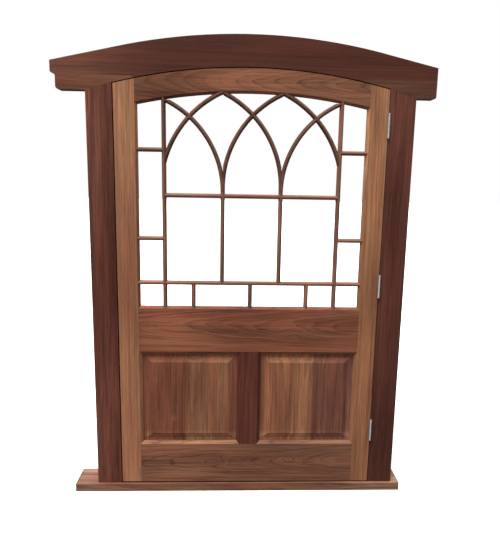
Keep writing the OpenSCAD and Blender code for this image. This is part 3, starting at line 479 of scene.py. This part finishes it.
def steel_material(name):
    """Zinc-plated steel, brushed along the knuckles, with dull patches."""
    g = Graph(bpy.data.materials.new(name))
    place = g.add("ShaderNodeTexCoord", {}).outputs["Object"]
    brushed = g.noise(g.stretched(place, BRUSHED), detail=2.0, roughness=0.6)
    patch = g.noise(g.stretched(place, DULLED), detail=4.0, roughness=0.6)
    tone = g.weighted([(brushed, STEEL_TONE_OF_BRUSHING), (patch, STEEL_TONE_OF_PATCHES)])
    roughness = g.weighted([
        (patch, STEEL_ROUGHNESS_OF_PATCHES), (brushed, STEEL_ROUGHNESS_OF_BRUSHING),
    ], STEEL_ROUGHNESS)
    bump = g.add("ShaderNodeBump", {
        "Height": brushed, "Strength": STEEL_BUMP_STRENGTH, "Distance": STEEL_BUMP_DEPTH,
    })
    shader = g.add("ShaderNodeBsdfPrincipled", {
        "Base Color": g.ramp(tone, [DULL_STEEL, BRIGHT_STEEL]),
        "Metallic": STEEL_METALLIC,
        "Roughness": roughness,
        "Normal": bump.outputs[0],
    })
    return g.finish(shader)


# ---------- pieces ----------

# how round an arris is, in metres, and the least turn between two faces that makes one
ARRIS = 0.0009
ARRIS_TURN = math.radians(11)
ARRIS_SEGMENTS = 2
# closer points are one point, and faces that turn less lie in one plane
SAME_POINT = 0.00001
SAME_PLANE = math.radians(0.2)
# how much a large face outweighs a small one in the shading, as Blender counts it
FACE_WEIGHT = 90


def ease_edges(piece, width):
    """Rounds a piece's sharp arrises."""
    weld = piece.modifiers.new("weld", "WELD")
    weld.merge_threshold = SAME_POINT
    flat = piece.modifiers.new("flat", "DECIMATE")
    flat.decimate_type = "DISSOLVE"
    flat.angle_limit = SAME_PLANE
    bevel = piece.modifiers.new("arris", "BEVEL")
    bevel.width = width
    bevel.segments = ARRIS_SEGMENTS
    bevel.limit_method = "ANGLE"
    bevel.angle_limit = ARRIS_TURN
    bevel.use_clamp_overlap = True
    normals = piece.modifiers.new("normals", "WEIGHTED_NORMAL")
    normals.keep_sharp = False
    normals.weight = FACE_WEIGHT


def dress(piece, material):
    piece.data.materials.clear()
    piece.data.materials.append(material)


def dress_pieces():
    for name, board in timber_pieces().items():
        dress(nodes[name], timber_material(name, board))
        ease_edges(nodes[name], ARRIS)
    steel = steel_material("hinge_steel")
    for name in nodes:
        if is_metal(name):
            dress(nodes[name], steel)


# ---------- studio ----------

FLOOR_REACH = 40.0
FLOOR_COLOUR = (0.9, 0.9, 0.9, 1)
FLOOR_ROUGHNESS = 0.9
FLOOR_SHEEN = 0.1
# where each light stands as a direction from the door, its strength, and its spread in degrees
SUNS = {
    "key": ((-0.25, -0.30, 0.92), 5.4, 28),
    "front": ((-0.20, -1.0, -0.20), 0.92, 50),
    "back": ((0.35, 0.9, 0.6), 2.6, 50),
}
# the sky's light by height, from 0 straight down to 1 straight up
SKY = [
    (0.0, (0.24, 0.24, 0.24, 1)),
    (0.46, (0.28, 0.28, 0.28, 1)),
    (0.54, (0.34, 0.34, 0.34, 1)),
    (1.0, (0.80, 0.81, 0.83, 1)),
]
BACKDROP = (1, 1, 1, 1)


def make_floor():
    mesh = bpy.data.meshes.new("studio_floor")
    r = FLOOR_REACH
    mesh.from_pydata([(-r, -r, 0), (r, -r, 0), (r, r, 0), (-r, r, 0)], [], [(0, 1, 2, 3)])
    floor = bpy.data.objects.new("studio_floor", mesh)
    bpy.context.scene.collection.objects.link(floor)
    g = Graph(bpy.data.materials.new("studio_floor"))
    shader = g.add("ShaderNodeBsdfPrincipled", {
        "Base Color": FLOOR_COLOUR, "Roughness": FLOOR_ROUGHNESS, "Specular IOR Level": FLOOR_SHEEN,
    })
    mesh.materials.append(g.finish(shader))
    floor.visible_diffuse = False
    floor.visible_glossy = False


def make_sky():
    """A soft sky, brighter above, that the camera sees as a plain pale backdrop."""
    world = bpy.data.worlds.new("studio")
    bpy.context.scene.world = world
    g = Graph(world)
    ray = g.add("ShaderNodeTexCoord", {}).outputs["Generated"]
    height = g.add("ShaderNodeSeparateXYZ", {"Vector": ray}).outputs["Z"]
    glow = g.ramp(g.math("MULTIPLY_ADD", height, 0.5, 0.5), SKY)
    soft = g.add("ShaderNodeBackground", {"Color": glow, "Strength": 1.0}).outputs[0]
    plain = g.add("ShaderNodeBackground", {"Color": BACKDROP, "Strength": 1.0}).outputs[0]
    seen = g.add("ShaderNodeLightPath", {}).outputs["Is Camera Ray"]
    mixed = g.add("ShaderNodeMixShader", {0: seen, 1: soft, 2: plain}).outputs[0]
    g.add("ShaderNodeOutputWorld", {"Surface": mixed})


def sun(name, source, strength, spread):
    data = bpy.data.lights.new(name, "SUN")
    data.energy = strength
    data.angle = math.radians(spread)
    light = bpy.data.objects.new(name, data)
    bpy.context.scene.collection.objects.link(light)
    light.rotation_euler = Vector(source).to_track_quat("Z", "Y").to_euler()


def make_studio():
    make_floor()
    make_sky()
    for name, (source, strength, spread) in SUNS.items():
        sun(name, source, strength, spread)
    bpy.context.scene.view_settings.view_transform = "Standard"


make_camera()
make_studio()
dress_pieces()
